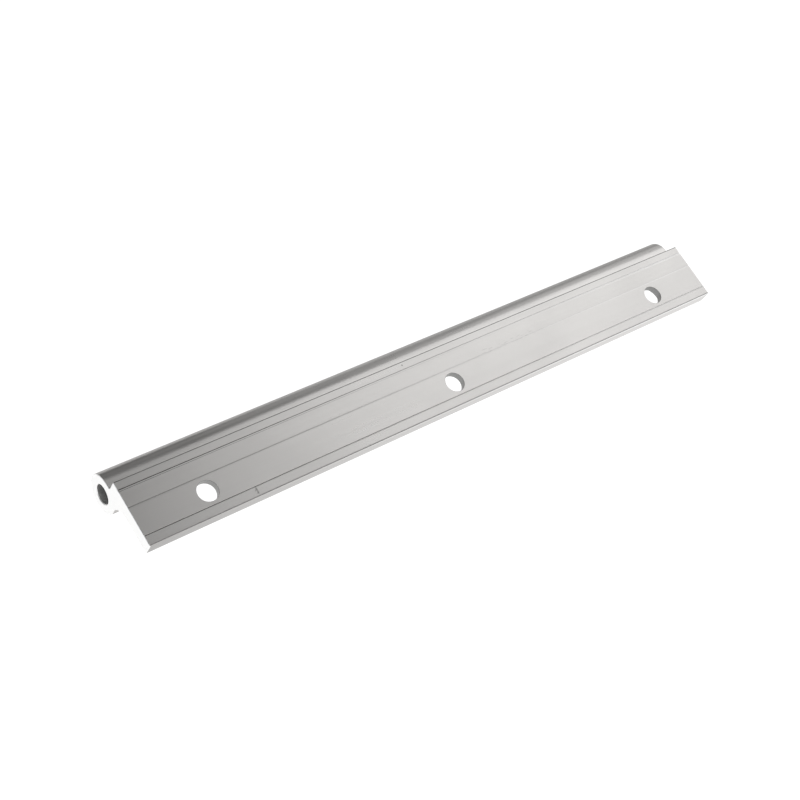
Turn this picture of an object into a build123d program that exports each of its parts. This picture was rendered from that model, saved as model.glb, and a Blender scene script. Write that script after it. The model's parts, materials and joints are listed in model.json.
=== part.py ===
"""Single round linear guide rail: one aluminium extrusion, sawn to length, drilled and counterbored.

The section carries a flat flange for bolting down, a neck and a hollow round track for a sliding bearing.
The rail lies as it rests when put down on its track: the mounting face looks up and leans, and the floor
is touched by the track and by the flange's outer lower edge.

Row frame in mm: +X along the rail, +Y from the flange towards the track, +Z up, floor at Z = 0.
In the section, u runs across the mounting face from the flange's outer edge towards the track, and v runs
from the mounting face into the material.
"""

import math
import os

from build123d import *

# Stock
LENGTH = 300.0
END_DEBURR = 0.2

# Flange and neck
BASE_WIDTH = 27.0
FLANGE_THICKNESS = 6.5
NECK_FILLET = 6.5
NOTCH_FILLET = 0.8
LIP_ROUNDING = 0.3
EDGE_ROUNDING = 0.6
TOE_ROUNDING = 0.3

# Round track
TRACK_DIAMETER = 16.0
TRACK_BORE = 8.0
TRACK_HEIGHT = 14.0
TRACK_OVERHANG = 1.8
BORE_DEBURR = 0.3

# Bolt holes
HOLE_DIAMETER = 8.5
HOLE_INSET = 10.1
HOLE_PITCH = 120.0
LEAST_END_DISTANCE = 20.0
COUNTERBORE_DIAMETER = 15.0
COUNTERBORE_DEPTH = 3.5
HOLE_DEBURR = 0.1

# Fine lines along the mounting face
OUTER_SCORE_INSET = 4.32
INNER_SCORE_INSET = 16.08
SCORE_WIDTH = 0.36
SCORE_DEPTH = 0.2
GROOVE_INSET = 3.8
GROOVE_WIDTH = 0.9
GROOVE_DEPTH = 0.2

# Where the track sits in the section
track_radius = TRACK_DIAMETER / 2
track_u = BASE_WIDTH + TRACK_OVERHANG
track_v = TRACK_HEIGHT

# The neck's inner fillet touches the flange's inner face and the track's circle
fillet_v = FLANGE_THICKNESS + NECK_FILLET
fillet_u = track_u - math.sqrt((track_radius + NECK_FILLET) ** 2 - (track_v - fillet_v) ** 2)
reach = track_radius / (track_radius + NECK_FILLET)
touch_u = track_u + reach * (fillet_u - track_u)
touch_v = track_v + reach * (fillet_v - track_v)
fillet_mid_angle = (math.pi / 2 - math.atan2(touch_v - fillet_v, touch_u - fillet_u)) / 2
fillet_mid_u = fillet_u + NECK_FILLET * math.sin(fillet_mid_angle)
fillet_mid_v = fillet_v - NECK_FILLET * math.cos(fillet_mid_angle)

# The lip's wall runs from the mounting face down to the track
notch_v = track_v - math.sqrt(track_radius**2 - TRACK_OVERHANG**2)

# Resting lean: the floor is the common tangent of the track and the flange's rounded toe
toe_u = TOE_ROUNDING
toe_v = FLANGE_THICKNESS - TOE_ROUNDING
span = math.hypot(track_u - toe_u, track_v - toe_v)
lean = math.atan2(track_v - toe_v, track_u - toe_u) + math.asin((track_radius - TOE_ROUNDING) / span)
across = Vector(0, math.cos(lean), math.sin(lean))
inward = Vector(0, math.sin(lean), -math.cos(lean))

# The section's own zero is set so that the floor is Z = 0 and the rail is centred on X and Y
near_y = EDGE_ROUNDING * (math.cos(lean) + math.sin(lean) - 1)
far_y = track_u * math.cos(lean) + track_v * math.sin(lean) + track_radius
zero = Vector(0, -(near_y + far_y) / 2, TOE_ROUNDING - toe_u * math.sin(lean) + toe_v * math.cos(lean))

# Bolt holes: as many as fit the length, centred on it
hole_count = 1 + int((LENGTH - 2 * LEAST_END_DISTANCE) // HOLE_PITCH)

section_plane = Plane(origin=zero + Vector(LENGTH / 2, 0, 0), x_dir=across, z_dir=(-1, 0, 0))
mouth_plane = Plane(origin=zero + across * HOLE_INSET, x_dir=(1, 0, 0), z_dir=inward * -1)
seat_plane = Plane(
    origin=zero + across * HOLE_INSET + inward * FLANGE_THICKNESS, x_dir=(1, 0, 0), z_dir=inward
)

with BuildPart() as guide_rail:
    with BuildSketch(section_plane) as section:
        with BuildLine():
            Polyline((0, FLANGE_THICKNESS), (0, 0), (BASE_WIDTH, 0), (BASE_WIDTH, notch_v))
            ThreePointArc(
                (BASE_WIDTH, notch_v),
                (track_u + track_radius * math.sqrt(0.5), track_v + track_radius * math.sqrt(0.5)),
                (touch_u, touch_v),
            )
            ThreePointArc((touch_u, touch_v), (fillet_mid_u, fillet_mid_v), (fillet_u, FLANGE_THICKNESS))
            Line((fillet_u, FLANGE_THICKNESS), (0, FLANGE_THICKNESS))
        make_face()
        corners = section.vertices()
        notch = corners.sort_by_distance((BASE_WIDTH, notch_v))[0]
        fillet(notch, NOTCH_FILLET)
        lip = section.vertices().sort_by_distance((BASE_WIDTH, 0))[0]
        fillet(lip, LIP_ROUNDING)
        edge = section.vertices().sort_by_distance((0, 0))[0]
        fillet(edge, EDGE_ROUNDING)
        toe = section.vertices().sort_by_distance((0, FLANGE_THICKNESS))[0]
        fillet(toe, TOE_ROUNDING)
        with Locations((track_u, track_v)):
            Circle(TRACK_BORE / 2, mode=Mode.SUBTRACT)
    extrude(amount=LENGTH)
    # The sawn ends have their sharp outer edge taken off before the fine lines are cut
    ends = guide_rail.faces().filter_by(Axis.X)
    outlines = [end.outer_wire().edges() for end in ends]
    for outline in outlines:
        chamfer(outline, END_DEBURR)
    with BuildSketch(section_plane) as fine_lines:
        # Two score lines, one each side of the holes
        for score_u in (OUTER_SCORE_INSET, INNER_SCORE_INSET):
            with BuildLine():
                Polyline(
                    (score_u - SCORE_WIDTH / 2, 0),
                    (score_u, SCORE_DEPTH),
                    (score_u + SCORE_WIDTH / 2, 0),
                    close=True,
                )
            make_face()
        # One flat-bottomed groove near the lip
        with Locations((BASE_WIDTH - GROOVE_INSET, 0)):
            Rectangle(GROOVE_WIDTH, GROOVE_DEPTH, align=(Align.CENTER, Align.MIN))
    extrude(amount=LENGTH, mode=Mode.SUBTRACT)
    with Locations(seat_plane):
        with GridLocations(HOLE_PITCH, 0, hole_count, 1):
            CounterBoreHole(HOLE_DIAMETER / 2, COUNTERBORE_DIAMETER / 2, COUNTERBORE_DEPTH)
    # Countersinks that take the burr off the drilled mouths
    mouths = guide_rail.edges().filter_by(GeomType.CIRCLE).filter_by(
        lambda e: abs(e.radius - HOLE_DIAMETER / 2) < 1e-3
        and abs(mouth_plane.to_local_coords(e.arc_center).Z) < 1e-3
    )
    chamfer(mouths, HOLE_DEBURR)
    bore_ends = guide_rail.edges().filter_by(GeomType.CIRCLE).filter_by(
        lambda e: abs(e.radius - TRACK_BORE / 2) < 1e-3
    )
    chamfer(bore_ends, BORE_DEBURR)

guide_rail.part.label = "guide_rail"

os.makedirs("parts", exist_ok=True)
export_step(guide_rail.part, "parts/guide_rail.step")
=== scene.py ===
"""A single round guide rail as it lies in the studio: the sawn, drilled and satin-finished extrusion,
a pale floor, soft light and a camera at the photographed angle.

Lengths are metres in the row frame unless a name says otherwise. In the leaning section, u runs across the
mounting face from the flange's outer edge towards the track, and v runs from that face into the metal.
"""

import json
import math
from functools import cached_property, partialmethod
from typing import NamedTuple

import bmesh
import bpy
import numpy as np
from bpy.props import FloatProperty, FloatVectorProperty, IntProperty, PointerProperty
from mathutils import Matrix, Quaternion, Vector
from mathutils.geometry import delaunay_2d_cdt

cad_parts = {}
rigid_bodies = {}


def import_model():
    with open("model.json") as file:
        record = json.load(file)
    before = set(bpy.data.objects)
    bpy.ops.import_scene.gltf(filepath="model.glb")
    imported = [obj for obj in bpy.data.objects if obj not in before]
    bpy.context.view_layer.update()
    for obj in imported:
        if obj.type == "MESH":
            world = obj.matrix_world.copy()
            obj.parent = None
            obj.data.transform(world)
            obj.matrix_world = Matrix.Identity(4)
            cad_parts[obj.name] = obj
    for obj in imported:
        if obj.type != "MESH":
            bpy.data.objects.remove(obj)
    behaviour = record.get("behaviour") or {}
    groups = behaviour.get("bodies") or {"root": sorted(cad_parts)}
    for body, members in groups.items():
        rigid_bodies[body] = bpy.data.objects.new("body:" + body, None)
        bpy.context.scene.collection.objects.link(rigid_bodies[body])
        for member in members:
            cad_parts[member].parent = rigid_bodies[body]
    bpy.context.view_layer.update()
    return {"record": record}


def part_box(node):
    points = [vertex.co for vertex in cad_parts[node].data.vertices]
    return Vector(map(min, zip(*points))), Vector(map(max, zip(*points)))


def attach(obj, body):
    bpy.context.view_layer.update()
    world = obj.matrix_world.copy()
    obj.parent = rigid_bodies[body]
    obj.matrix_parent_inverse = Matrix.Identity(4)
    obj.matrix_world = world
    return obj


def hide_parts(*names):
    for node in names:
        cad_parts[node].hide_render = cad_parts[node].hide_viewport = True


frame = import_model()

bl_info = {
    "name": "Round Guide Rail",
    "version": (1, 0, 0),
    "blender": (4, 5, 0),
    "location": "3D View > Sidebar > Guide Rail",
    "description": "Builds a sawn and drilled round guide rail with its satin finish, and a studio for it",
    "category": "Object",
}

MM = 0.001
MICRON = 0.001 * MM
TURN = 2 * math.pi
QUARTER = math.pi / 2
ALONG = np.array([1.0, 0.0, 0.0])

# The rail's node, what stands for it and what the record says of it
NODE = "guide_rail"
PIECE = "guide_rail_finished"
HALF_LENGTH = (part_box(NODE)[1].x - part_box(NODE)[0].x) / 2
MOUNTS = {mount["name"]: mount for mount in frame["record"]["mounts"]}
TRACK = MOUNTS["guide_track"]
HOLES = [mount for name, mount in sorted(MOUNTS.items()) if name.startswith("bolt_hole")]
HOLE_X = np.array([hole["pos_m"][0] for hole in HOLES])

# Marks on the mounting face, by their places along the rail and across it
NICK_X = -103.0 * MM
NICK_U = (1.4 * MM, 3.8 * MM)
NICK_HALF = 0.13 * MM
NICK_FADE = 0.15 * MM
STAIN_U = 2.7 * MM
STAIN_HALF_X, STAIN_HALF_U = 0.7 * MM, 1.6 * MM
SPECK_X, SPECK_U = -17.6 * MM, 25.4 * MM
SPECK_RADIUS, SPECK_CORE = 0.5 * MM, 0.2 * MM
RUB_X, RUB_U = 34.0 * MM, 17.0 * MM
RUB_HALF_X, RUB_HALF_U = 20.0 * MM, 1.6 * MM

# Axis of the saw blade in the section, and the distance between its marks
BLADE_U, BLADE_V = -46.0 * MM, 92.0 * MM
SAW_PITCH = 1.25 * MM


def radius_of(mount):
    """Radius that a mount states."""
    return mount["dims"]["r_mm"] * MM


def setting(kind, **limits):
    """A maker of settings that show in the panel, each from its name, its description and its value."""

    def make(name, description, value):
        return kind(name=name, description=description, default=value, **limits)

    return make


# An amount is a strength, 1 being full or white, and a spot is a place in the studio
colour = setting(FloatVectorProperty, size=3, min=0.0, max=1.0, subtype="COLOR")
share = setting(FloatProperty, min=0.0, max=1.0, subtype="FACTOR")
amount = setting(FloatProperty, min=0.0, soft_max=2.0)
watts = setting(FloatProperty, min=0.0, unit="POWER")
spot = setting(FloatVectorProperty, subtype="XYZ")
metres = setting(FloatProperty, min=0.0, precision=5, subtype="DISTANCE")
focal = setting(FloatProperty, min=1.0, subtype="DISTANCE_CAMERA")
lean = setting(FloatProperty, subtype="ANGLE")
whole = setting(IntProperty, min=0)


def length(name, description, millimetres):
    """A size in the panel, given in millimetres and kept in metres."""
    return metres(name, description, millimetres * MM)


class RailSection(bpy.types.PropertyGroup):
    """Sizes of the extruded section and of what is cut into it."""

    base_width: length("Base width", "Mounting face from its outer edge to the lip", 27.0)
    flange_thickness: length("Flange", "Thickness of the bolting flange", 6.5)
    neck_fillet: length("Neck fillet", "Hollow between the flange and the track", 6.5)
    notch_fillet: length("Notch fillet", "Small hollow between the lip and the track", 0.8)
    lip_rounding: length("Lip", "Rounding of the lip's edge", 0.3)
    edge_rounding: length("Edge", "Rounding of the mounting face's outer edge", 0.6)
    toe_rounding: length("Toe", "Rounding of the flange's lower outer edge", 0.3)
    track_height: length("Track height", "Track axis from the mounting face", 14.0)
    track_overhang: length("Track overhang", "Track axis beyond the lip", 1.8)
    hole_inset: length("Hole inset", "Bolt holes from the flange's outer edge", 10.1)
    counterbore: length("Counterbore", "Diameter of the screw head's seat", 15.0)
    counterbore_depth: length("Counterbore depth", "Depth of the screw head's seat", 3.5)
    hole_deburr: length("Hole deburr", "Bevel at the drilled mouths", 0.1)
    bore_deburr: length("Bore deburr", "Bevel at the track's open ends", 0.3)
    end_deburr: length("End deburr", "Bevel round the sawn ends", 0.2)
    outer_score: length("Outer score", "Score line from the flange's outer edge", 4.32)
    inner_score: length("Inner score", "Second score line from the flange's outer edge", 16.08)
    score_width: length("Score width", "Width of a score line", 0.36)
    score_depth: length("Score depth", "Depth of the outer score line", 0.2)
    inner_score_depth: length("Inner score depth", "Depth of the inner score line, which is worn", 0.05)
    groove_inset: length("Groove inset", "Middle of the flat groove from the lip", 3.8)
    groove_width: length("Groove width", "Width of the flat groove", 0.9)
    groove_depth: length("Groove depth", "Depth of the flat groove", 0.2)


class RailFinish(bpy.types.PropertyGroup):
    """Colours and surface of the metal."""

    skin_colour: colour("Skin", "Satin skin of the extrusion", (0.752, 0.738, 0.722))
    track_colour: colour("Track", "Brighter skin of the guide track", (0.812, 0.797, 0.780))
    cut_colour: colour("Cut metal", "Freshly sawn metal", (0.95, 0.95, 0.945))
    # Painted shade: the walls of the bolt holes are darkened for their shade
    drilled_shade_colour: colour("Drilled metal", "Dull walls of the bolt holes", (0.285, 0.285, 0.28))
    bore_colour: colour("Bore", "Dull inside of the track", (0.72, 0.72, 0.715))
    skin_roughness: share("Skin roughness", "Gloss of the satin skin", 0.30)
    cut_roughness: share("Cut roughness", "Gloss of the sawn ends", 0.46)
    drilled_roughness: share("Drilled roughness", "Gloss of the bolt holes", 0.40)
    bore_roughness: share("Bore roughness", "Gloss of the track's inside", 0.48)
    skin_slant: share("Skin at a slant", "Light that the satin skin keeps when seen at a slant", 0.80)
    track_slant: share("Track at a slant", "Light that the track keeps when seen at a slant", 0.34)
    die_line_height: length("Die lines", "Height of the fine lines that the die leaves", 0.003)
    saw_mark_height: length("Saw marks", "Height of the blade's marks on the ends", 0.006)
    nick_depth: length("Nick", "Depth of the small nick in the mounting face's outer strip", 0.05)
    seed: whole("Seed", "Pattern of the die lines", 11)


class RailDustAndShade(bpy.types.PropertyGroup):
    """How dark the dust and the painted shade lie on the flange, from clean metal at 0 to the dust's own
    shade at 1.
    """

    shade: share("Shade", "How light the dust is beside the skin", 0.12)
    # Dust with painted shade: the score lines and the groove are darkened, most at the near end
    cuts: amount("Cuts", "Dust in the outer score line, at the near end", 1.04)
    groove: amount("Groove", "Dust in the groove beside that in the outer score line", 1.05)
    near_wall: share("Groove's near wall", "Dust and wear there beside the groove's far wall", 0.70)
    inner: share("Inner score", "Dust in the inner score line beside the outer one", 0.54)
    # Painted light: bright metal in the inner score line, towards the far end
    inner_painted_light: share("Inner score, bare", "Bare metal in the inner score line beside the outer one", 0.40)
    # Painted shade: the dark line along the lip
    lip: share("Lip", "Dark line along the lip", 0.75)
    # Painted shade: the dark line along the outer edge, which grows towards the near end
    edge: share("Edge", "Dark line along the outer edge", 0.25)
    edge_shade_near: share("Edge, near", "What the outer edge's line gains towards the near end", 0.10)
    # Painted shade on the flange's side, which grows towards the near end
    side: share("Side", "Dust on the flange's side at the far end", 0.02)
    side_shade_near: share("Side, near", "What the side's dust gains towards the near end", 0.50)
    stain: share("Stain", "Stain at the nick", 0.42)
    speck: share("Speck", "Dark speck beside the groove", 0.55)
    rub: share("Rub", "Rubbed marks beside the inner score line", 0.20)
    roughness: share("Roughness", "What the dust in the cuts adds to the skin's roughness", 0.26)


class RailStudio(bpy.types.PropertyGroup):
    """Floor, lights and camera."""

    floor_colour: colour("Floor", "Pale studio floor", (0.06, 0.06, 0.06))
    floor_glow: amount("Floor glow", "Light that the floor's white middle gives", 1.10)
    floor_rim_glow: amount("Floor rim", "Light that the floor gives far from the rail", 0.80)
    glow_from: length("Glow from", "Where the floor's light starts to fade", 700.0)
    glow_to: length("Glow to", "Where the floor's light has faded", 3000.0)
    floor_radius: length("Floor radius", "Middle of the floor to its rim", 4200.0)
    floor_flat: length("Floor flat", "Middle of the floor to where it starts to rise", 1800.0)
    floor_rise: length("Floor rise", "Height of the floor's rim", 700.0)
    room_glow: amount("Room", "Light that the grey room gives from all round", 0.075)
    light_distance: length("Light distance", "Distance of the soft lights from the rail", 2000.0)
    light_size: length("Light size", "Side of each square soft light", 1200.0)
    key_power: watts("Key", "Main light, high beyond the far end", 3.35)
    front_power: watts("Front", "Light before the far end", 1.75)
    front_high_power: watts("Front, high", "Higher light before the far half", 1.2)
    far_power: watts("Far", "Light behind the far end", 1.34)
    far_low_power: watts("Far, low", "Lower light behind the far half", 1.2)
    rear_power: watts("Rear", "Fill behind the track", 4.2)
    left_power: watts("Left", "Fill before the near end", 4.5)
    middle_power: watts("Middle", "Fill before the middle of the rail", 2.8)
    top_power: watts("Top", "Fill over the rail", 2.1)
    eye: spot("Camera", "Where the camera stands", (-0.34971, -0.36398, 0.34533))
    aim: spot("Aim", "Point in the middle of the picture", (-0.02490, -0.00640, 0.009))
    roll: lean("Roll", "Lean of the camera", math.radians(3.807))
    lens: focal("Lens", "Focal length", 66.32)


class RailSettings(bpy.types.PropertyGroup):
    """All that a user would change."""

    section: PointerProperty(type=RailSection)
    finish: PointerProperty(type=RailFinish)
    # Dust on the flange, with painted shade and painted light
    dust: PointerProperty(type=RailDustAndShade)
    studio: PointerProperty(type=RailStudio)


class Axes:
    """The leaning section's own directions: across is the way of u and inward the way of v."""

    def __init__(self, section):
        normal = np.array(MOUNTS["mounting_face"]["axis"])
        self.inward = -normal
        self.across = np.cross(normal, ALONG)
        self.track_u = section.base_width + section.track_overhang
        self.track_v = section.track_height
        track = np.array(TRACK["pos_m"])
        self.zero = track - self.across * self.track_u - self.inward * self.track_v

    def place(self, x, u, v):
        """zero + x along the rail + u across + v inward, for arrays that broadcast to one shape."""
        x, u, v = np.broadcast_arrays(x, u, v)
        return self.zero + x[..., None] * ALONG + u[..., None] * self.across + v[..., None] * self.inward


class Block(NamedTuple):
    """A square of the skin about each hole: half its side, and its cells across and along the rail."""

    half: float
    rows: int
    columns: int


# Both have the same number of points round them, so that the hole's rings pair up
BLOCKS = {"mouth": Block(5.2 * MM, 36, 30), "seat": Block(8.4 * MM, 32, 34)}


class Outline:
    """The section's closed outline as points (u, v), anticlockwise: straight runs and arcs that touch.

    The notch and neck hollows are arcs whose centres lie one radius from a straight wall, and one radius
    plus the track's radius from the track's axis. marks gives the number of each run's first point, around
    the way round the section to each point, and out each point's outward direction.
    """

    CELLS = dict(
        outer_strip=12, before_mouth=1, mouth=BLOCKS["mouth"].rows, behind_mouth=1, middle_strip=22,
        groove=4, lip_strip=10, lip=6, lip_wall=16, notch=10, track=112, neck=12,
        seat=BLOCKS["seat"].rows, inner_face=4, toe=6, side=16, edge=7,
    )

    def __init__(self, section, axes):
        self.runs, self.marks, self.count = [], {}, 0
        self.lay_mounting_face(section)
        self.lay_track(section, axes)
        self.lay_flange(section)
        self.points = np.concatenate(self.runs)
        step = np.roll(self.points, -1, 0) - self.points
        size = np.linalg.norm(step, axis=1)
        self.around = np.concatenate([[0], np.cumsum(size)[:-1]])
        self.girth = size.sum()
        heading = step / size[:, None]
        heading = heading + np.roll(heading, 1, 0)
        out = np.stack([heading[:, 1], -heading[:, 0]], -1)
        self.out = out / np.linalg.norm(out, axis=1)[:, None]

    def lay(self, name, points):
        """Adds one run of points and remembers where it starts."""
        self.marks[name] = self.count
        self.runs.append(np.asarray(points, float))
        self.count += len(points)

    def line(self, name, start, end):
        """Adds a straight run: (1 - t) start + t end at equal steps of t, without the end itself."""
        t = np.arange(self.CELLS[name])[:, None] / self.CELLS[name]
        self.lay(name, (1 - t) * np.array(start) + t * np.array(end))

    def bend(self, name, centre, radius, begin, end):
        """Adds an arc: centre + radius (cos a, sin a) at equal steps of a, without the end itself."""
        a = begin + (end - begin) * np.arange(self.CELLS[name]) / self.CELLS[name]
        self.lay(name, np.array(centre) + radius * np.stack([np.cos(a), np.sin(a)], -1))

    def lay_mounting_face(self, s):
        """The flat face from its outer edge to the lip, with two score lines and a flat groove."""
        half = s.score_width / 2
        mouth_from = s.hole_inset - BLOCKS["mouth"].half
        mouth_to = s.hole_inset + BLOCKS["mouth"].half
        groove_from = s.base_width - s.groove_inset - s.groove_width / 2
        groove_to = groove_from + s.groove_width
        self.line("outer_strip", (s.edge_rounding, 0), (s.outer_score - half, 0))
        self.lay("outer_score", [(s.outer_score - half, 0), (s.outer_score, s.score_depth)])
        self.line("before_mouth", (s.outer_score + half, 0), (mouth_from, 0))
        self.line("mouth", (mouth_from, 0), (mouth_to, 0))
        self.line("behind_mouth", (mouth_to, 0), (s.inner_score - half, 0))
        self.lay("inner_score", [(s.inner_score - half, 0), (s.inner_score, s.inner_score_depth)])
        self.line("middle_strip", (s.inner_score + half, 0), (groove_from, 0))
        self.lay("groove_near", [(groove_from, 0)])
        self.line("groove", (groove_from, s.groove_depth), (groove_to, s.groove_depth))
        self.lay("groove_far", [(groove_to, s.groove_depth)])
        self.line("lip_strip", (groove_to, 0), (s.base_width - s.lip_rounding, 0))

    def lay_track(self, s, axes):
        """The lip, the notch behind it, the round track, the neck's hollow and the block of the seats."""
        radius, tu, tv = radius_of(TRACK), axes.track_u, axes.track_v
        notch_u = s.base_width + s.notch_fillet
        notch_v = tv - math.sqrt((radius + s.notch_fillet) ** 2 - (tu - notch_u) ** 2)
        toward = math.atan2(tv - notch_v, tu - notch_u)
        neck_v = s.flange_thickness + s.neck_fillet
        neck_u = tu - math.sqrt((radius + s.neck_fillet) ** 2 - (tv - neck_v) ** 2)
        leave = math.atan2(tv - neck_v, tu - neck_u)
        seat_from = s.hole_inset + BLOCKS["seat"].half
        seat_to = s.hole_inset - BLOCKS["seat"].half
        meet = -math.acos((seat_from - neck_u) / s.neck_fillet)
        self.bend("lip", (s.base_width - s.lip_rounding, s.lip_rounding), s.lip_rounding, -QUARTER, 0)
        self.line("lip_wall", (s.base_width, s.lip_rounding), (s.base_width, notch_v))
        self.bend("notch", (notch_u, notch_v), s.notch_fillet, math.pi, toward)
        self.bend("track", (tu, tv), radius, toward - math.pi, leave + math.pi)
        self.bend("neck", (neck_u, neck_v), s.neck_fillet, leave, meet)
        u = np.linspace(seat_from, seat_to, self.CELLS["seat"], endpoint=False)
        rise = np.sqrt(s.neck_fillet**2 - np.clip(u - neck_u, 0, None) ** 2)
        self.lay("seat", np.stack([u, neck_v - rise], -1))

    def lay_flange(self, s):
        """The flange's inner face, its rounded toe, its side and its rounded outer edge."""
        thick, toe, edge = s.flange_thickness, s.toe_rounding, s.edge_rounding
        self.line("inner_face", (s.hole_inset - BLOCKS["seat"].half, thick), (toe, thick))
        self.bend("toe", (toe, thick - toe), toe, QUARTER, 2 * QUARTER)
        self.line("side", (0, thick - toe), (0, edge))
        self.bend("edge", (edge, edge), edge, 2 * QUARTER, 3 * QUARTER)

    def within(self, *names):
        """1 on the points of the named runs, 0 elsewhere."""
        mask = np.zeros(self.count)
        for name, run in zip(self.marks, self.runs):
            if name in names:
                mask[self.marks[name] : self.marks[name] + len(run)] = 1
        return mask


SHARP_ANGLE = math.radians(28)


class Shell:
    """Points and faces gathered from several grids into one closed mesh."""

    def __init__(self):
        self.points, self.faces, self.zones, self.values, self.count = [], [], [], [], 0

    def add(self, points, around=0.0):
        """Takes an array of points and gives back the numbers they have, in the same shape."""
        flat = points.reshape(-1, 3)
        ids = self.count + np.arange(len(flat)).reshape(points.shape[:-1])
        self.points.append(flat)
        self.values.append(np.broadcast_to(around, points.shape[:-1]).ravel())
        self.count += len(flat)
        return ids

    def join(self, faces, zone):
        """Adds faces, as rows of point numbers, with their finish."""
        self.faces.append(faces)
        self.zones.append(np.full(len(faces), zone))

    def strip(self, first, second, zone):
        """Quads between two closed rows of points, facing right of the way from first to second."""
        first_on, second_on = np.roll(first, -1), np.roll(second, -1)
        self.join(np.stack([first, second, second_on, first_on], -1), zone)

    def mesh(self, name):
        """The mesh, with points that no face uses left out. It has to be closed, and to face outwards."""
        points, values = np.concatenate(self.points), np.concatenate(self.values)
        corners = np.concatenate([f.ravel() for f in self.faces])
        sizes = np.concatenate([np.full(len(f), f.shape[1]) for f in self.faces])
        starts = np.concatenate([[0], np.cumsum(sizes)[:-1]])
        used, corners = np.unique(corners, return_inverse=True)
        mesh = bpy.data.meshes.new(name)
        mesh.vertices.add(len(used))
        mesh.vertices.foreach_set("co", points[used].astype(np.float32).ravel())
        mesh.loops.add(len(corners))
        mesh.loops.foreach_set("vertex_index", corners.astype(np.int32))
        mesh.polygons.add(len(sizes))
        mesh.polygons.foreach_set("loop_start", starts.astype(np.int32))
        mesh.polygons.foreach_set("material_index", np.concatenate(self.zones).astype(np.int32))
        mesh.polygons.foreach_set("use_smooth", np.ones(len(sizes), bool))
        mesh.update(calc_edges=True)
        if mesh.validate():
            raise RuntimeError("the rail's mesh has broken faces")
        layer = mesh.attributes.new("around", "FLOAT", "POINT")
        layer.data.foreach_set("value", values[used].astype(np.float32))
        mesh.set_sharp_from_angle(angle=SHARP_ANGLE)
        form = bmesh.new()
        form.from_mesh(mesh)
        closed = all(edge.is_manifold for edge in form.edges)
        volume = form.calc_volume(signed=True)
        form.free()
        if not closed or volume <= 0:
            raise RuntimeError("the rail's mesh is open or inside out")
        return mesh


# Numbers of the finishes, in the order of the mesh's materials
SKIN, RUNNING, SAWN, DRILLED, BORE = range(5)

# Waves round the section, and how their strength falls with their number and varies by chance
DIE_WAVES = np.arange(20, 230)
DIE_WAVE_FALL = 0.8
DIE_WAVE_CHANCE = (0.2, 1.0)


def die_lines(outline, finish):
    """Height of the skin at each outline point, never over the true section: a sum of sines round it, with
    wavelengths from about six to half a millimetre and chance phases, still at the fine cuts."""
    chance = np.random.default_rng(finish.seed)
    weight = DIE_WAVES**-DIE_WAVE_FALL * chance.uniform(*DIE_WAVE_CHANCE, len(DIE_WAVES))
    phase = chance.uniform(0, TURN, len(DIE_WAVES))
    angle = TURN * outline.around[:, None] * DIE_WAVES / outline.girth + phase
    height = (weight * np.sin(angle)).sum(1)
    height = (height - height.max()) * finish.die_line_height / height.std()
    cuts = outline.within("outer_score", "inner_score", "groove_near", "groove", "groove_far")
    return height * (1 - cuts)


# Spacing of the stations: the usual one, those about the nick's middle, and when two are the same place
LONG_CELL = 4.2 * MM
NICK_STEPS = np.array([-0.6, -0.35, -0.22, -0.12, -0.05, 0.05, 0.12, 0.22, 0.35, 0.6]) * MM
PLACE_DECIMALS = 8


def stations(deburr):
    """Places along the rail where a section stands: close at the holes and the nick, wide elsewhere."""
    mouth, seat = BLOCKS["mouth"], BLOCKS["seat"]
    margin = (seat.columns - mouth.columns) // 2
    near = np.linspace(-mouth.half, mouth.half, mouth.columns + 1)
    beside = np.linspace(mouth.half, seat.half, margin + 1)[1:]
    block = np.concatenate([-beside[::-1], near, beside])
    places = [(HOLE_X[:, None] + block).ravel(), NICK_X + NICK_STEPS]
    sides = (HOLE_X[:, None] + [-seat.half, seat.half]).ravel()
    limits = np.concatenate([[-HALF_LENGTH + deburr], sides, [HALF_LENGTH - deburr]])
    for start, end in limits.reshape(-1, 2):
        cells = max(2, round((end - start) / LONG_CELL))
        places.append(np.linspace(start, end, cells + 1))
    return np.unique(np.round(np.concatenate(places), PLACE_DECIMALS))


def nick(x, u, depth):
    """Depth of the nick: a bell curve along x, times a smooth step up and a smooth step down along u."""
    valley = np.exp(-(((x - NICK_X) / NICK_HALF) ** 2))
    start, end = (1 / (1 + np.exp((limit - u) / NICK_FADE)) for limit in NICK_U)
    return depth * valley * (start - end)


def closed_grid(ids):
    """Quads of a grid of point numbers whose last row joins its first."""
    after = np.roll(ids, -1, 0)
    return np.stack([ids[:, :-1], ids[:, 1:], after[:, 1:], after[:, :-1]], -1)


class Skin(NamedTuple):
    """The outline carried along the rail: its stations, its section with die lines, its point numbers."""

    outline: Outline
    x: np.ndarray
    profile: np.ndarray
    ids: np.ndarray


def carried_skin(shell, axes, section, finish):
    """The outline carried along X, lowered by die lines and the nick, with the holes' blocks left open."""
    outline = Outline(section, axes)
    x = stations(section.end_deburr)
    profile = outline.points + outline.out * die_lines(outline, finish)[:, None]
    nicked = outline.within("outer_strip", "outer_score", "before_mouth")
    sink = nick(x, profile[:, :1], finish.nick_depth) * nicked[:, None]
    u = profile[:, :1] - outline.out[:, :1] * sink
    v = profile[:, 1:] - outline.out[:, 1:] * sink
    ids = shell.add(axes.place(x, u, v), outline.around[:, None])
    keep = np.ones((outline.count, len(x) - 1), bool)
    middle = (x[1:] + x[:-1]) / 2
    for name, block in BLOCKS.items():
        first = outline.marks[name]
        at_hole = (abs(middle[:, None] - HOLE_X) < block.half).any(1)
        keep[first : first + block.rows, at_hole] = False
    quads = closed_grid(ids)
    running = outline.within("notch", "track", "neck").astype(bool)[:, None]
    shell.join(quads[keep & ~running], SKIN)
    shell.join(quads[keep & running], RUNNING)
    return Skin(outline, x, profile, ids)


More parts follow.
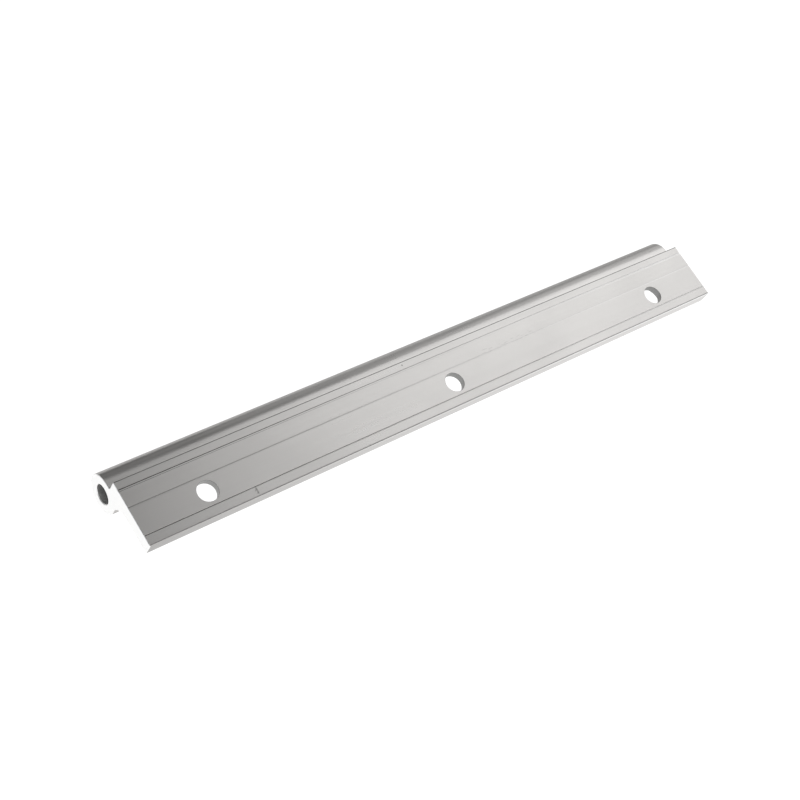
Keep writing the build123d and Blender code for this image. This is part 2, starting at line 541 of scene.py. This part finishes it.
def block_loop(grid, rows, columns):
    """Values round a block of a grid: up its first column, along its last row, down and back."""
    (i0, i1), (j0, j1) = rows, columns
    return np.concatenate([grid[i0:i1, j0], grid[i1, j0:j1], grid[i1:i0:-1, j1], grid[i0, j1:j0:-1]])


# How far each ring lies on the way from a block's edge to its circle
RING_STEPS = (0.3, 0.6, 0.85, 1.0)


def fill_block(shell, axes, skin, name, centre, radius, angle):
    """Closes a block of the skin down to a circle and gives the numbers of the circle's points.

    Between block and circle a point is (1 - t) block + t circle, laid on the surface v(u).
    """
    block = BLOCKS[name]
    first = skin.outline.marks[name]
    last = first + block.rows
    columns = [int(np.argmin(abs(skin.x - centre[0] - side))) for side in (-block.half, block.half)]
    edge_x, edge_u, row = (
        block_loop(np.broadcast_to(grid, skin.ids.shape), (first, last), columns)
        for grid in (skin.x, skin.profile[:, :1], skin.ids)
    )
    if len(row) != len(angle):
        raise RuntimeError(f"the {name} block has {len(row)} points round it, not {len(angle)}")
    order = first + np.argsort(skin.profile[first : last + 1, 0])
    u, v = skin.profile[order].T
    around = skin.outline.around[order]
    ring_x, ring_u = centre[0] + radius * np.cos(angle), centre[1] + radius * np.sin(angle)
    for t in RING_STEPS:
        at_x, at_u = (1 - t) * edge_x + t * ring_x, (1 - t) * edge_u + t * ring_u
        inner = shell.add(axes.place(at_x, at_u, np.interp(at_u, u, v)), np.interp(at_u, u, around))
        shell.strip(row, inner, SKIN)
        row = inner
    return row


def cut_rings(shell, axes, row, centre, angle, rings):
    """Carries a row of points on through circles of the given radius and depth, and gives the last row."""
    for radius, v in rings:
        circle = axes.place(centre[0] + radius * np.cos(angle), centre[1] + radius * np.sin(angle), v)
        ring = shell.add(circle)
        shell.strip(row, ring, DRILLED)
        row = ring
    return row


CORNER_ANGLE = 0.75 * math.pi
WALL_RINGS = 6
SEAT_RINGS = 4


def bolt_hole(shell, axes, skin, x, section):
    """One counterbored hole.

    The mounting face closes to the drilled mouth, whose wall runs down to the seat. The inner face closes
    to the counterbore, whose wall and floor run on to the foot of the drilled wall. Each ring starts at its
    block's first corner, so that rings and blocks pair up point by point.
    """
    centre = (x, section.hole_inset)
    drill, head, bevel = radius_of(HOLES[0]), section.counterbore / 2, section.hole_deburr
    seat_v = section.flange_thickness - section.counterbore_depth
    count = 2 * (BLOCKS["mouth"].rows + BLOCKS["mouth"].columns)
    step = np.arange(count)
    angle = CORNER_ANGLE + TURN * step / count
    row = fill_block(shell, axes, skin, "mouth", centre, drill + bevel, -angle)
    wall = [(drill, v) for v in np.linspace(bevel, seat_v, WALL_RINGS)]
    foot = cut_rings(shell, axes, row, centre, -angle, wall)
    row = fill_block(shell, axes, skin, "seat", centre, head, angle)
    floor = [(radius, seat_v) for radius in np.linspace(head, drill, SEAT_RINGS, endpoint=False)]
    row = cut_rings(shell, axes, row, centre, angle, floor)
    shell.strip(row, foot[(count // 4 - step) % count], DRILLED)


BORE_SECTORS = 96
BORE_RINGS = 41


def track_bore(shell, axes, section):
    """The track's bore: circles about the track's axis, wider at both ends by the bevel.

    Gives the numbers of its points and their places (u, v), each as a grid of sectors and rings.
    """
    radius, bevel = radius_of(MOUNTS["track_bore"]), section.bore_deburr
    angle = TURN * np.arange(BORE_SECTORS) / BORE_SECTORS
    inset = HALF_LENGTH - bevel
    x = np.concatenate([[-HALF_LENGTH], np.linspace(-inset, inset, BORE_RINGS), [HALF_LENGTH]])
    reach = np.full(len(x), radius)
    reach[[0, -1]] += bevel
    u = axes.track_u + np.cos(angle)[:, None] * reach
    v = axes.track_v + np.sin(angle)[:, None] * reach
    ids = shell.add(axes.place(x, u, v), (angle * radius)[:, None])
    bevels = (0, len(x) - 2)
    for k in range(len(x) - 1):
        shell.strip(ids[:, k + 1], ids[:, k], SAWN if k in bevels else BORE)
    return ids, np.stack([u, v], -1)


def inside(points, loop):
    """Even-odd rule: True for points whose ray to the right crosses the loop an odd number of times."""
    a, b = loop[None], np.roll(loop, -1, 0)[None]
    p = points[:, None]
    crosses = (a[..., 1] > p[..., 1]) != (b[..., 1] > p[..., 1])
    with np.errstate(divide="ignore", invalid="ignore"):
        at = a[..., 0] + (p[..., 1] - a[..., 1]) * (b[..., 0] - a[..., 0]) / (b[..., 1] - a[..., 1])
    return (crosses & (p[..., 0] < at)).sum(1) % 2 == 1


# The marks' waver along u and along v: its strength in radians, its length and its phase
SAW_WAVER = ((0.25, 3.1 * MM, 0.0), (0.20, 2.3 * MM, 1.0))


def saw_marks(points, height):
    """How far the sawn face lies behind the rail's end: a sine of the distance from the blade's axis, with
    a little waver across the face."""
    reach = np.linalg.norm(points - (BLADE_U, BLADE_V), axis=1)
    waver = sum(k * np.sin(way / span + phase) for way, (k, span, phase) in zip(points.T, SAW_WAVER))
    return height * (1 - np.sin(TURN * reach / SAW_PITCH + waver))


def loop_edges(first, count):
    """Pairs of neighbours round a closed row of points."""
    ids = first + np.arange(count)
    return np.stack([ids, np.roll(ids, -1)], -1)


# Spacing of the net, its distance from the borders, and what the triangulation gives and merges
NET_STEP = 0.36 * MM
NET_CLEARANCE = 0.6 * NET_STEP
TRIANGLES_WITHIN = 1
NET_MERGE = 1e-7


def sawn_end(shell, axes, rim, rim_ids, bore, bore_ids, outward, finish):
    """A sawn face between the section's rim and the bore: a fine net of points that rise and fall with the
    blade's marks, joined to both borders by triangles."""
    low, high = rim.min(0), rim.max(0)
    columns, rows = (np.arange(low[k], high[k], NET_STEP) for k in range(2))
    net = np.stack(np.meshgrid(columns, rows), -1).reshape(-1, 2)
    borders = np.concatenate([rim, bore])
    clear = np.linalg.norm(net[:, None] - borders, axis=2).min(1) > NET_CLEARANCE
    net = net[clear & inside(net, rim) & ~inside(net, bore)]
    behind = saw_marks(net, finish.saw_mark_height)
    net_ids = shell.add(axes.place(outward * (HALF_LENGTH - behind), net[:, 0], net[:, 1]))
    flat = np.concatenate([borders, net])
    ids = np.concatenate([rim_ids, bore_ids, net_ids])
    edges = np.concatenate([loop_edges(0, len(rim)), loop_edges(len(rim), len(bore))])
    made = delaunay_2d_cdt((flat / MM).tolist(), edges.tolist(), [], TRIANGLES_WITHIN, NET_MERGE)
    triangles, origins = made[2], made[3]
    source = np.array([group[0] for group in origins])
    faces = source[np.array(triangles)]
    faces = faces[~inside(flat[faces].mean(1), bore)]
    (au, av), (bu, bv), (cu, cv) = (flat[faces[:, k]].T for k in range(3))
    turn = (bu - au) * (cv - av) - (bv - av) * (cu - au)
    wrong = (turn > 0) == (outward > 0)
    faces[wrong] = faces[wrong][:, ::-1]
    shell.join(ids[faces], SAWN)


def rail_mesh(axes, section, finish):
    """The whole rail: carried skin, bolt holes, the track's bore and the two sawn, bevelled ends."""
    shell = Shell()
    skin = carried_skin(shell, axes, section, finish)
    for x in HOLE_X:
        bolt_hole(shell, axes, skin, x, section)
    bore_ids, bore = track_bore(shell, axes, section)
    rim = skin.profile - skin.outline.out * section.end_deburr
    for outward, end in ((-1, 0), (1, -1)):
        rim_ids = shell.add(axes.place(outward * HALF_LENGTH, rim[:, 0], rim[:, 1]), skin.outline.around)
        bevel = (skin.ids[:, end], rim_ids)
        shell.strip(*bevel[::outward], SAWN)
        sawn_end(shell, axes, rim, rim_ids, bore[:, end], bore_ids[:, end], outward, finish)
    return shell.mesh(PIECE)


class Wire:
    """One output in a material's tree, used in sums as a number is."""

    def __init__(self, paint, socket):
        self.paint, self.socket = paint, socket

    def combine(self, other, operation, swapped=False):
        """A node that works out two values, this wire being the first unless they are swapped."""
        first, second = (other, self) if swapped else (self, other)
        return self.paint.node("ShaderNodeMath", {"operation": operation}, {0: first, 1: second})

    __add__ = partialmethod(combine, operation="ADD")
    __radd__ = partialmethod(combine, operation="ADD", swapped=True)
    __sub__ = partialmethod(combine, operation="SUBTRACT")
    __rsub__ = partialmethod(combine, operation="SUBTRACT", swapped=True)
    __mul__ = partialmethod(combine, operation="MULTIPLY")
    __rmul__ = partialmethod(combine, operation="MULTIPLY", swapped=True)


class Paint:
    """A material in the making: its tree, its shader, the place on the piece and helpers for patterns."""

    BAND_CORE = 0.6

    def __init__(self, name):
        self.material = bpy.data.materials.new(name)
        self.material.use_nodes = True
        self.tree = self.material.node_tree
        self.tree.nodes.clear()
        self.shader = self.tree.nodes.new("ShaderNodeBsdfPrincipled")
        result = self.tree.nodes.new("ShaderNodeOutputMaterial")
        self.tree.links.new(self.shader.outputs[0], result.inputs[0])
        self.place = self.node("ShaderNodeTexCoord", out="Object")

    def node(self, kind, settings=None, sockets=None, out=0):
        """Adds a node, sets its settings first and then its sockets, and gives one of its outputs."""
        made = self.tree.nodes.new(kind)
        for key, value in (settings or {}).items():
            setattr(made, key, value)
        self.feed(made, sockets or {})
        return Wire(self, made.outputs[out])

    def feed(self, node, sockets):
        """Links a node's sockets to wires, or sets them to values."""
        for key, value in sockets.items():
            if isinstance(value, Wire):
                self.tree.links.new(value.socket, node.inputs[key])
            else:
                node.inputs[key].default_value = value

    def finish(self, sockets):
        """Links or sets the shader's own sockets and gives the material."""
        self.feed(self.shader, sockets)
        return self.material

    def point(self, x, y, z=0.0):
        """A place made of three values."""
        return self.node("ShaderNodeCombineXYZ", None, {0: x, 1: y, 2: z})

    def size(self, vector):
        """Distance of a place from the zero it is measured from."""
        return self.node("ShaderNodeVectorMath", {"operation": "LENGTH"}, {0: vector}, "Value")

    def noise(self, vector, scale=1.0, detail=2.0, roughness=0.5):
        """Soft chance pattern from nought to one, with about scale spots to a unit."""
        sockets = {"Vector": vector, "Scale": scale, "Detail": detail, "Roughness": roughness}
        return self.node("ShaderNodeTexNoise", {"noise_dimensions": "3D"}, sockets)

    def between(self, value, low, high):
        """0 below low, 1 above high, smooth between; low may be the larger."""
        sockets = {"Value": value, "From Min": low, "From Max": high, "To Min": 0.0, "To Max": 1.0}
        return self.node("ShaderNodeMapRange", {"interpolation_type": "SMOOTHSTEP"}, sockets)

    def band(self, value, middle, half):
        """1 along the core of a line, falling smoothly to 0 at half its width from the middle."""
        off = self.node("ShaderNodeMath", {"operation": "ABSOLUTE"}, {0: value - middle})
        return self.between(off, half, self.BAND_CORE * half)

    def mix(self, factor, first, second):
        """A colour between two."""
        return self.node("ShaderNodeMix", {"data_type": "RGBA"}, {0: factor, 6: first, 7: second}, 2)

    def vary(self, pattern, rgb, darkest, lightest):
        """A colour that a pattern makes darker and lighter."""
        return self.mix(pattern, tone(rgb, darkest), tone(rgb, lightest))

    def swing(self, pattern, width):
        """A value that a pattern moves about nought, over the given width."""
        return (pattern - 0.5) * width

    def bump(self, height, distance, strength):
        """A normal bent by a pattern that stands so far out of the surface."""
        sockets = {"Height": height, "Distance": distance, "Strength": strength}
        return self.node("ShaderNodeBump", None, sockets)


class Metal(Paint):
    """A finish of the rail in the making: x runs along the rail, u and v lie in its section, and around is
    the way round the section or the bore."""

    def __init__(self, name, axes):
        super().__init__(name)
        self.axes = axes

    def reach(self, direction):
        """Distance of the place from the section's zero along a direction."""
        sockets = {0: self.place, 1: tuple(direction)}
        along = self.node("ShaderNodeVectorMath", {"operation": "DOT_PRODUCT"}, sockets, "Value")
        return along - float(np.dot(direction, self.axes.zero))

    @cached_property
    def x(self):
        return self.node("ShaderNodeSeparateXYZ", None, {0: self.place}, "X")

    @cached_property
    def u(self):
        return self.reach(self.axes.across)

    @cached_property
    def v(self):
        return self.reach(self.axes.inward)

    @cached_property
    def around(self):
        return self.node("ShaderNodeAttribute", {"attribute_name": "around"}, None, "Fac")

    def cover(self, base, rough, normal):
        """Gives the metal its colour, its roughness and its normal, and is done."""
        return self.finish({"Base Color": base, "Roughness": rough, "Metallic": 1.0, "Normal": normal})

    def streaks(self, along, across, layer=0.0, detail=2.0, roughness=0.5):
        """Long streaks: a chance pattern with so many spots to the metre along the rail and round it."""
        place = self.point(self.x * along, self.around * across, layer)
        return self.noise(place, detail=detail, roughness=roughness)


def tone(rgb, factor=1.0):
    """A colour with its alpha, made lighter or darker."""
    return (*(min(1.0, c * factor) for c in rgb), 1.0)


def drawn_metal(name, axes, finish, rgb, slant):
    """The extrusion's clear-anodised skin, as drawn from the die: long streaks and faint clouds. Gives the
    material in the making, its clean colour and its roughness."""
    m = Metal(name, axes)
    fine = m.streaks(along=7.0, across=2600.0, detail=3.0, roughness=0.6)
    broad = m.streaks(along=5.0, across=320.0, layer=3.0)
    cloud = m.noise(m.place, scale=28.0, detail=3.0, roughness=0.55)
    clean = m.vary(0.55 * fine + 0.45 * broad, rgb, darkest=0.96, lightest=1.03)
    rough = finish.skin_roughness + m.swing(fine, 0.10) + m.swing(cloud, 0.10)
    normal = m.bump(0.6 * fine + 0.4 * broad, distance=12 * MICRON, strength=0.35)
    m.finish({"Metallic": 1.0, "Normal": normal, "Specular Tint": (slant, slant, slant, 1.0)})
    return m, clean, rough


# Depths between which the mounting face and its cuts are told from the rest of the skin
FACE_DEPTHS = (0.6 * MM, 0.4 * MM)
CUT_DEPTHS = (0.02 * MM, 0.10 * MM)

# Half the widths of the lines of dust and painted shade, and where the painted shade lines without a cut
# lie
OUTER_LINE_HALF = 0.30 * MM
INNER_LINE_HALF = 0.24 * MM
GROOVE_LINE_HALF = 0.28 * MM
LIP_SHADE_INSET, LIP_SHADE_HALF = 0.28 * MM, 0.19 * MM
EDGE_SHADE_INSET, EDGE_SHADE_HALF = 0.45 * MM, 0.26 * MM

# Distances from the outer edge over which its worn metal and the side's painted shade fade
WORN_EDGE = (0.5 * MM, 0.25 * MM)
SHADED_SIDE = (0.4 * MM, 0.06 * MM)

# Heights of the chance patterns over which the stain and the rubbed marks come in
STAIN_PATCHES = (0.30, 0.56)
RUB_PATCHES = (0.56, 0.66)


def cut_lines(m, section, dust, face):
    """Masks of the fine cuts, for painted light and for dust with painted shade: both score lines and the
    groove's two walls.
    """
    half = section.groove_width / 2
    middle = section.base_width - section.groove_inset
    deep = m.between(m.v, *CUT_DEPTHS) * face
    outer = m.band(m.u, section.outer_score, OUTER_LINE_HALF)
    inner = m.band(m.u, section.inner_score, INNER_LINE_HALF) * face
    near_wall = m.band(m.u, middle - half, GROOVE_LINE_HALF)
    far_wall = m.band(m.u, middle + half, GROOVE_LINE_HALF)
    groove = dust.near_wall * near_wall + far_wall
    painted_light = deep * (outer + groove) + dust.inner_painted_light * inner
    dust_and_painted_shade = deep * (outer + dust.groove * groove) + dust.inner * inner
    return painted_light, dust_and_painted_shade


def face_marks(m, dust, face):
    """Darkness of the single marks: the stain at the nick, the speck and the rubbed marks."""
    patches = m.between(m.noise(m.place, scale=1300.0), *STAIN_PATCHES)
    stain = m.band(m.x, NICK_X, STAIN_HALF_X) * m.band(m.u, STAIN_U, STAIN_HALF_U) * patches
    spot_reach = m.size(m.point(m.x - SPECK_X, m.u - SPECK_U))
    speck = m.between(spot_reach, SPECK_RADIUS, SPECK_CORE)
    rub_along, rub_across, rub_layer = 260.0, 2600.0, 5.0
    scuffs = m.noise(m.point(m.x * rub_along, m.u * rub_across, rub_layer))
    rub_area = m.band(m.u, RUB_U, RUB_HALF_U) * m.band(m.x, RUB_X, RUB_HALF_X)
    rubbed = m.between(scuffs, *RUB_PATCHES) * rub_area
    return (dust.stain * stain + dust.speck * speck + dust.rub * rubbed) * face


def satin_skin(axes, settings):
    """Skin of the flange.

    Dark dust with painted shade lies in the cuts, and painted shade on the side. Both grow towards the near
    end and thin out towards the far end, where painted light brightens the cuts and worn metal the outer
    edge. Painted shade makes dark lines along the lip and the outer edge, and there are a few single marks.
    """
    section, finish, dust = settings.section, settings.finish, settings.dust
    m, clean, rough = drawn_metal("satin_skin", axes, finish, finish.skin_colour, finish.skin_slant)
    near = (HALF_LENGTH - m.x) * (0.5 / HALF_LENGTH)
    # Painted shade: the darkening of the cuts and the side grows towards the near end
    painted_shade_along = near * near
    face = m.between(m.v, *FACE_DEPTHS)
    painted_light, dust_and_painted_shade = cut_lines(m, section, dust, face)
    worn = m.between(m.u, *WORN_EDGE) * face
    # Painted shade: dark lines along the lip and the outer edge
    lip = m.band(m.u, section.base_width - LIP_SHADE_INSET, LIP_SHADE_HALF) * face
    edge = m.band(m.u, EDGE_SHADE_INSET, EDGE_SHADE_HALF) * face
    # Painted shade on the flange's side
    side = m.between(m.u, *SHADED_SIDE)
    # Dust and painted shade in the cuts
    cuts = dust_and_painted_shade * painted_shade_along
    lines = dust.cuts * cuts + dust.lip * lip + (dust.edge + dust.edge_shade_near * near) * edge
    # Dust and painted shade, with the single marks
    dust_and_shade = lines + (dust.side + dust.side_shade_near * painted_shade_along) * side + face_marks(m, dust, face)
    # Painted light: bright metal in the cuts, and worn metal at the outer edge, both stronger towards the
    # far end
    scored = m.mix((painted_light + worn) * (1 - near), clean, tone(finish.cut_colour))
    base = m.mix(dust_and_shade, scored, tone(finish.skin_colour, dust.shade))
    return m.finish({"Base Color": base, "Roughness": rough + dust.roughness * cuts})


def running_skin(axes, settings):
    """Skin of the track and its neck, where the bearing runs: as drawn, and darker at a slant."""
    finish = settings.finish
    m, clean, rough = drawn_metal("running_skin", axes, finish, finish.track_colour, finish.track_slant)
    return m.finish({"Base Color": clean, "Roughness": rough})


def sawn_metal(axes, settings):
    """Raw sawn metal: arcs of the blade with fine grit between them."""
    finish = settings.finish
    m = Metal("sawn_metal", axes)
    arcs, drift = 5200.0, 90.0
    reach = m.size(m.point(m.u - BLADE_U, m.v - BLADE_V))
    fine = m.noise(m.point(reach * arcs, m.u * drift, m.v * drift))
    grit = m.noise(m.place, scale=5200.0)
    base = m.vary(0.7 * fine + 0.3 * grit, finish.cut_colour, darkest=0.90, lightest=1.03)
    rough = finish.cut_roughness + m.swing(fine, 0.16) + m.swing(grit, 0.08)
    normal = m.bump(0.8 * fine + 0.2 * grit, distance=10 * MICRON, strength=0.5)
    return m.cover(base, rough, normal)


def drilled_metal(axes, settings):
    """Drilled metal, its colour darkened as painted shade in the holes: rings that the cutter leaves, a
    little darker where chips have rubbed.
    """
    finish = settings.finish
    m = Metal("drilled_metal", axes)
    rings, drift = 7000.0, 60.0
    wound = m.noise(m.point(m.v * rings, m.x * drift, m.u * drift))
    grit = m.noise(m.place, scale=1400.0)
    # Painted shade: the dark wall colour stands for the shade in the holes
    base = m.vary(0.6 * wound + 0.4 * grit, finish.drilled_shade_colour, darkest=0.85, lightest=1.12)
    rough = finish.drilled_roughness + m.swing(wound, 0.16) + m.swing(grit, 0.10)
    normal = m.bump(wound, distance=10 * MICRON, strength=0.5)
    return m.cover(base, rough, normal)


def bore_metal(axes, settings):
    """Dull inside of the track, with lines along it and a film of dust."""
    finish = settings.finish
    m = Metal("bore_metal", axes)
    lines = m.streaks(along=6.0, across=1800.0, detail=3.0)
    film = m.noise(m.place, scale=260.0, detail=3.0)
    base = m.vary(0.6 * lines + 0.4 * film, finish.bore_colour, darkest=0.80, lightest=1.15)
    rough = finish.bore_roughness + m.swing(film, 0.20)
    normal = m.bump(lines, distance=10 * MICRON, strength=0.4)
    return m.cover(base, rough, normal)


class RAIL_OT_build(bpy.types.Operator):
    """Build the finished rail in place of the plain solid"""

    bl_idname = "rail.build"
    bl_label = "Guide rail"

    def execute(self, context):
        settings = context.scene.rail_settings
        axes = Axes(settings.section)
        mesh = rail_mesh(axes, settings.section, settings.finish)
        for make in (satin_skin, running_skin, sawn_metal, drilled_metal, bore_metal):
            mesh.materials.append(make(axes, settings))
        rail = bpy.data.objects.new(PIECE, mesh)
        context.scene.collection.objects.link(rail)
        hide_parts(NODE)
        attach(rail, "root")
        return {"FINISHED"}


# Cells of the floor: sectors, the hub's radius, and rings to the middle radius and from there to the rim
FLOOR_SECTORS = 72
FLOOR_HUB, FLOOR_MIDDLE = 0.05, 1.6
HUB_RINGS, RIM_RINGS = 12, 24


def floor_mesh(studio):
    """A shallow dish turned about Z: z = rise * s(r), s being a smooth step from the flat to the rim."""
    inner = np.linspace(FLOOR_HUB, FLOOR_MIDDLE, HUB_RINGS)
    outer = np.linspace(FLOOR_MIDDLE, studio.floor_radius, RIM_RINGS + 1)[1:]
    radius = np.concatenate([inner, outer])
    t = np.clip((radius - studio.floor_flat) / (studio.floor_radius - studio.floor_flat), 0, 1)
    rise = studio.floor_rise * t * t * (3 - 2 * t)
    angle = TURN * np.arange(FLOOR_SECTORS)[:, None] / FLOOR_SECTORS
    x, y, z = np.broadcast_arrays(radius * np.cos(angle), radius * np.sin(angle), rise)
    grid = np.stack([x, y, z], -1)
    ids = np.arange(x.size).reshape(x.shape)
    quads = closed_grid(ids).reshape(-1, 4)
    hub = ids[:, 0]
    mesh = bpy.data.meshes.new("studio_floor")
    mesh.from_pydata(grid.reshape(-1, 3).tolist(), [], [*quads.tolist(), hub.tolist()])
    mesh.shade_smooth()
    return mesh


def floor_paint(studio):
    """A white light panel with a hardly visible mottle, which dims away from the rail."""
    m = Paint("studio_floor")
    mottle = m.noise(m.place, scale=3.0)
    fade = m.between(m.size(m.place), studio.glow_from, studio.glow_to)
    return m.finish(
        {
            "Base Color": m.vary(mottle, studio.floor_colour, darkest=0.95, lightest=1.05),
            "Roughness": 0.9,
            "Specular IOR Level": 0.0,
            "Emission Color": studio.floor_glow + (studio.floor_rim_glow - studio.floor_glow) * fade,
            "Emission Strength": 1.0,
        }
    )


# Azimuth of each soft light from +X towards +Y, and its height over the floor, in degrees
SOFT_LIGHTS = {
    "key": (0, 50),
    "front": (337, 35),
    "front_high": (315, 50),
    "far": (22, 35),
    "far_low": (45, 25),
    "rear": (112, 38),
    "left": (222, 42),
    "middle": (268, 34),
    "top": (110, 78),
}


def soft_light(name, studio, azimuth, elevation):
    """A square area light that looks at the rail."""
    lamp = bpy.data.lights.new(f"{name}_light", "AREA")
    lamp.shape = "SQUARE"
    lamp.size = studio.light_size
    lamp.energy = getattr(studio, f"{name}_power")
    turn, tilt = math.radians(azimuth), math.radians(elevation)
    level = math.cos(tilt)
    toward = Vector((math.cos(turn) * level, math.sin(turn) * level, math.sin(tilt)))
    holder = bpy.data.objects.new(lamp.name, lamp)
    holder.location = toward * studio.light_distance
    holder.rotation_euler = (-toward).to_track_quat("-Z", "Y").to_euler()
    return holder


def grey_room(studio):
    """An even glow from all round."""
    room = bpy.data.worlds.new("studio_room")
    room.use_nodes = True
    glow = room.node_tree.nodes["Background"]
    glow.inputs["Color"].default_value = (1.0, 1.0, 1.0, 1.0)
    glow.inputs["Strength"].default_value = studio.room_glow
    return room


SENSOR_WIDTH = 36.0
CLIP_START, CLIP_END = 0.01, 50.0


def photo_camera(studio):
    """A camera at the photographed angle: it looks from the eye at the aim and leans by the roll."""
    view = bpy.data.cameras.new("photo_view")
    view.lens = studio.lens
    view.sensor_width = SENSOR_WIDTH
    view.clip_start, view.clip_end = CLIP_START, CLIP_END
    camera = bpy.data.objects.new("photo_view", view)
    camera.location = studio.eye
    camera.rotation_mode = "QUATERNION"
    look = (Vector(studio.aim) - Vector(studio.eye)).to_track_quat("-Z", "Y")
    camera.rotation_quaternion = look @ Quaternion((0, 0, 1), studio.roll)
    return camera


class RAIL_OT_stage(bpy.types.Operator):
    """Set up the pale floor, the soft lights and the camera"""

    bl_idname = "rail.stage"
    bl_label = "Studio"

    def execute(self, context):
        scene = context.scene
        studio = scene.rail_settings.studio
        mesh = floor_mesh(studio)
        mesh.materials.append(floor_paint(studio))
        floor = bpy.data.objects.new("studio_floor", mesh)
        scene.collection.objects.link(floor)
        for name, (azimuth, elevation) in SOFT_LIGHTS.items():
            scene.collection.objects.link(soft_light(name, studio, azimuth, elevation))
        scene.world = grey_room(studio)
        scene.view_settings.view_transform = "Standard"
        camera = photo_camera(studio)
        scene.collection.objects.link(camera)
        scene.camera = camera
        return {"FINISHED"}


class RAIL_PT_panel(bpy.types.Panel):
    """Sizes, finish, dust with painted shade and light, and studio of the rail"""

    bl_label = "Guide Rail"
    bl_idname = "RAIL_PT_panel"
    bl_space_type = "VIEW_3D"
    bl_region_type = "UI"
    bl_category = "Guide Rail"

    def draw(self, context):
        settings = context.scene.rail_settings
        for title in ("section", "finish", "dust", "studio"):
            group = getattr(settings, title)
            box = self.layout.box()
            box.label(text=title.title())
            for name in group.bl_rna.properties.keys():
                if name not in ("rna_type", "name"):
                    box.prop(group, name)
        self.layout.operator(RAIL_OT_build.bl_idname)
        self.layout.operator(RAIL_OT_stage.bl_idname)


CLASSES = (
    *(RailSection, RailFinish, RailDustAndShade, RailStudio, RailSettings),
    *(RAIL_OT_build, RAIL_OT_stage, RAIL_PT_panel),
)


def register():
    """Makes the settings, the operators and the panel known."""
    for cls in CLASSES:
        bpy.utils.register_class(cls)
    bpy.types.Scene.rail_settings = PointerProperty(type=RailSettings)


def unregister():
    """Takes them away again, in reverse order."""
    del bpy.types.Scene.rail_settings
    for cls in reversed(CLASSES):
        bpy.utils.unregister_class(cls)


def main():
    """Builds the rail and its studio."""
    register()
    bpy.ops.rail.build()
    bpy.ops.rail.stage()


if __name__ == "__main__":
    main()
